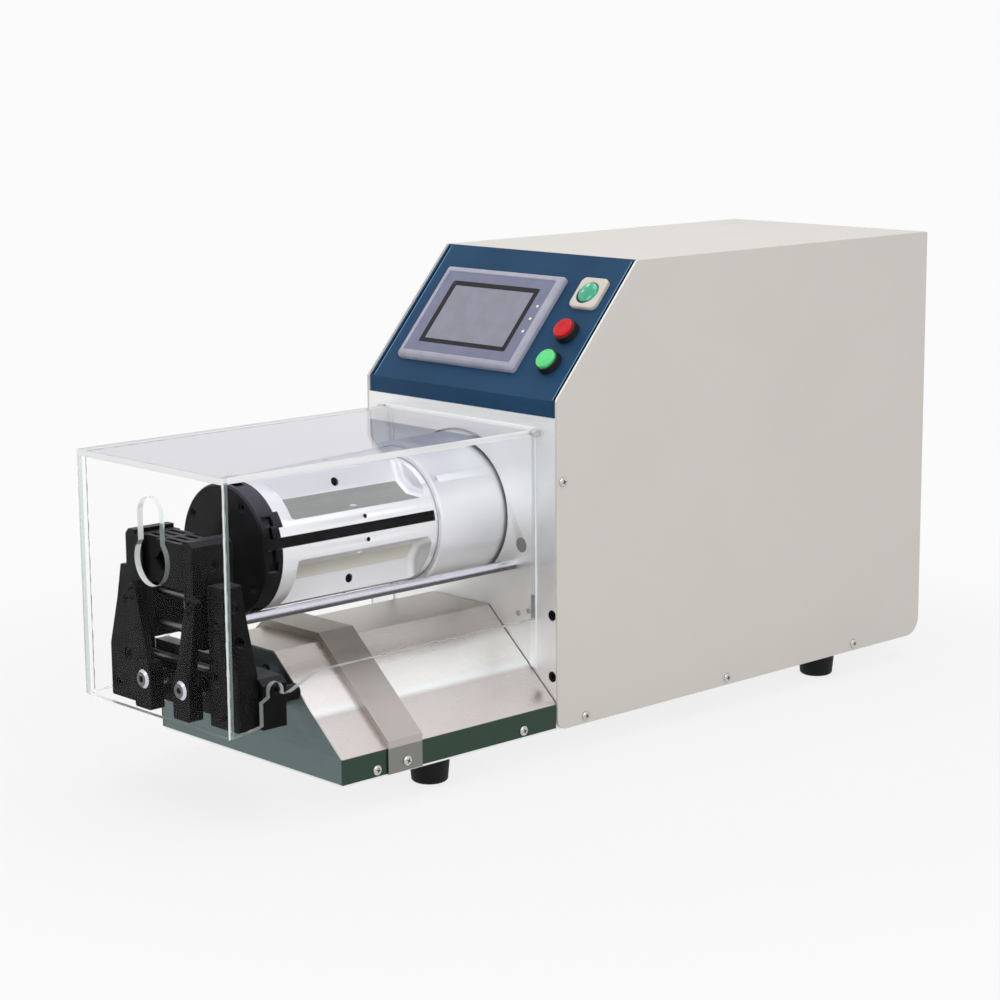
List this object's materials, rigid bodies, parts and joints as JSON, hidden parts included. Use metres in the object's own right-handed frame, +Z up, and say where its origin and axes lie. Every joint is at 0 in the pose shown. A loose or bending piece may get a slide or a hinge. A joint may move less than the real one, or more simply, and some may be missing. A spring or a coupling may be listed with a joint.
{
  "type": "coaxial cable stripping machine",
  "caption": "Bench-top stripper for coaxial cable: rotary knife head on a feeding quill, self-centring cable clamp, clear hinged cover, sloping panel with screen.",
  "frame": {"origin": "on the floor under the middle of the machine", "axes": "+X to the right seen from the operator, +Y to the back, +Z up"},
  "size_m": [0.2354, 0.7754, 0.3919],
  "materials": {
    "cream": "semi-gloss powder coat",
    "navy": "fine textured powder coat",
    "alu": "machined and clear anodised",
    "stainless": "brushed",
    "steel": "ground",
    "black_alu": "black anodised",
    "black_steel": "black oxide",
    "motor_black": "satin",
    "rubber": "matt",
    "clear": "polished",
    "lilac": "fine grain",
    "screen": "satin film",
    "bone": "satin",
    "black_plastic": "satin",
    "jade": "polished",
    "red": "satin",
    "green": "satin",
    "board": "solder mask"
  },
  "bodies": {
    "machine": {"base_plate": "alu", "feet": "rubber", "side_cover": "cream", "control_panel": "navy", "rear_panel": "cream", "inlet": "black_plastic", "dome_screws": "steel", "brackets": "alu", "front_plate": "alu", "seat_plate": "alu", "black_bolts": "black_steel", "hmi_case": "lilac", "hmi_screen": "screen", "switch_plate": "bone", "button_collars": "black_plastic", "hinge_blocks": "alu", "hood": "stainless", "hood_end": "stainless", "hood_strap": "stainless", "guide_rods": "steel", "uprights": "black_alu", "cross_block": "black_alu", "clamp_bars": "steel", "clamp_neck": "black_alu", "clamp_motor": "motor_black", "feed_rails": "steel", "feed_motor": "motor_black", "power_supply": "steel", "control_board": "board"},
    "cover": {"cover": "clear"},
    "rocker": {"power_rocker": "jade"},
    "red_cap": {"red_button": "red"},
    "green_cap": {"green_button": "green"},
    "feed": {"quill": "alu", "quill_bearings": "steel", "carriage": "alu", "spindle_motor": "motor_black", "cone_motor": "motor_black", "drive_belt": "rubber"},
    "drive": {"motor_pulley": "motor_black"},
    "head": {"spindle": "steel", "cage": "alu", "head_ring": "black_alu", "head_screws": "black_steel"},
    "cone": {"push_cone": "steel"},
    "fork": {"cone_fork": "alu"},
    "arm_a": {"arm_1": "black_steel"},
    "arm_b": {"arm_2": "black_steel"},
    "arm_c": {"arm_3": "black_steel"},
    "arm_d": {"arm_4": "black_steel"},
    "screw": {"feed_screw": "steel"},
    "jaw_r": {"jaw_right": "black_alu", "comb_right": "black_alu"},
    "jaw_l": {"jaw_left": "black_alu", "comb_left": "black_alu"},
    "lever_r": {"lever_right": "black_alu", "gear_shaft_right": "steel"},
    "lever_l": {"lever_left": "black_alu", "gear_shaft_left": "steel"}
  },
  "joints": [
    {"name": "cover_hinge", "type": "hinge", "parent": "machine", "child": "cover", "pos_m": [0, -0.083, 0.2608], "axis": [-1, 0, 0], "range_deg": [0, 95]},
    {"name": "spindle_feed", "type": "slide", "parent": "machine", "child": "feed", "axis": [0, 1, 0], "range_m": [0, 0.06]},
    {"name": "spindle_spin", "type": "hinge", "parent": "feed", "child": "head", "pos_m": [0, -0.179, 0.188], "axis": [0, 1, 0], "continuous": true},
    {"name": "motor_spin", "type": "hinge", "parent": "feed", "child": "drive", "pos_m": [0, 0.1, 0.127], "axis": [0, 1, 0], "continuous": true},
    {"name": "cone_slide", "type": "slide", "parent": "head", "child": "cone", "axis": [0, -1, 0], "range_m": [0, 0.02]},
    {"name": "fork_slide", "type": "slide", "parent": "feed", "child": "fork", "axis": [0, -1, 0], "range_m": [0, 0.02]},
    {"name": "arm_a_pivot", "type": "hinge", "parent": "head", "child": "arm_a", "pos_m": [0.03724, -0.219, 0.19558], "axis": [0.1994, 0, -0.9799], "range_deg": [0, 5.05]},
    {"name": "arm_b_pivot", "type": "hinge", "parent": "head", "child": "arm_b", "pos_m": [-0.00758, -0.219, 0.22524], "axis": [0.9799, 0, 0.1994], "range_deg": [0, 5.05]},
    {"name": "arm_c_pivot", "type": "hinge", "parent": "head", "child": "arm_c", "pos_m": [-0.03724, -0.219, 0.18042], "axis": [-0.1994, 0, 0.9799], "range_deg": [0, 5.05]},
    {"name": "arm_d_pivot", "type": "hinge", "parent": "head", "child": "arm_d", "pos_m": [0.00758, -0.219, 0.15076], "axis": [-0.9799, 0, -0.1994], "range_deg": [0, 5.05]},
    {"name": "feed_screw_turn", "type": "hinge", "parent": "machine", "child": "screw", "pos_m": [0, 0.021, 0.055], "axis": [0, 1, 0], "range_deg": [-1, 2200]},
    {"name": "jaw_close", "type": "slide", "parent": "machine", "child": "jaw_r", "axis": [-1, 0, 0], "range_m": [-0.004, 0.009]},
    {"name": "jaw_left_close", "type": "slide", "parent": "machine", "child": "jaw_l", "axis": [1, 0, 0], "range_m": [-0.00401, 0.00901]},
    {"name": "lever_right_turn", "type": "hinge", "parent": "machine", "child": "lever_r", "pos_m": [0.024, -0.376, 0.094], "axis": [0, -1, 0], "range_deg": [-3.6, 8]},
    {"name": "lever_left_turn", "type": "hinge", "parent": "machine", "child": "lever_l", "pos_m": [-0.024, -0.376, 0.094], "axis": [0, 1, 0], "range_deg": [-3.6, 8]},
    {"name": "power_rock", "type": "hinge", "parent": "machine", "child": "rocker", "pos_m": [0.084, -0.00893, 0.36241], "axis": [-1, 0, 0], "range_deg": [0, 14]},
    {"name": "red_press", "type": "slide", "parent": "machine", "child": "red_cap", "axis": [0, 0.7534, -0.6575], "range_m": [0, 0.002], "stiffness_N_per_m": 400, "springref_m": -0.001},
    {"name": "green_press", "type": "slide", "parent": "machine", "child": "green_cap", "axis": [0, 0.7534, -0.6575], "range_m": [0, 0.002], "stiffness_N_per_m": 400, "springref_m": -0.001}
  ],
  "couplings": [
    {"joint": "motor_spin", "follows": "spindle_spin", "ratio": 1.7},
    {"joint": "fork_slide", "follows": "cone_slide", "ratio": 1},
    {"joint": "arm_a_pivot", "follows": "cone_slide", "rad_per_m": 4.3633},
    {"joint": "arm_b_pivot", "follows": "cone_slide", "rad_per_m": 4.3633},
    {"joint": "arm_c_pivot", "follows": "cone_slide", "rad_per_m": 4.3633},
    {"joint": "arm_d_pivot", "follows": "cone_slide", "rad_per_m": 4.3633},
    {"joint": "feed_screw_turn", "follows": "spindle_feed", "rad_per_m": 628.32},
    {"joint": "jaw_left_close", "follows": "jaw_close", "ratio": 1},
    {"joint": "lever_right_turn", "follows": "jaw_close", "rad_per_m": 15.2},
    {"joint": "lever_left_turn", "follows": "jaw_close", "rad_per_m": 15.2}
  ]
}
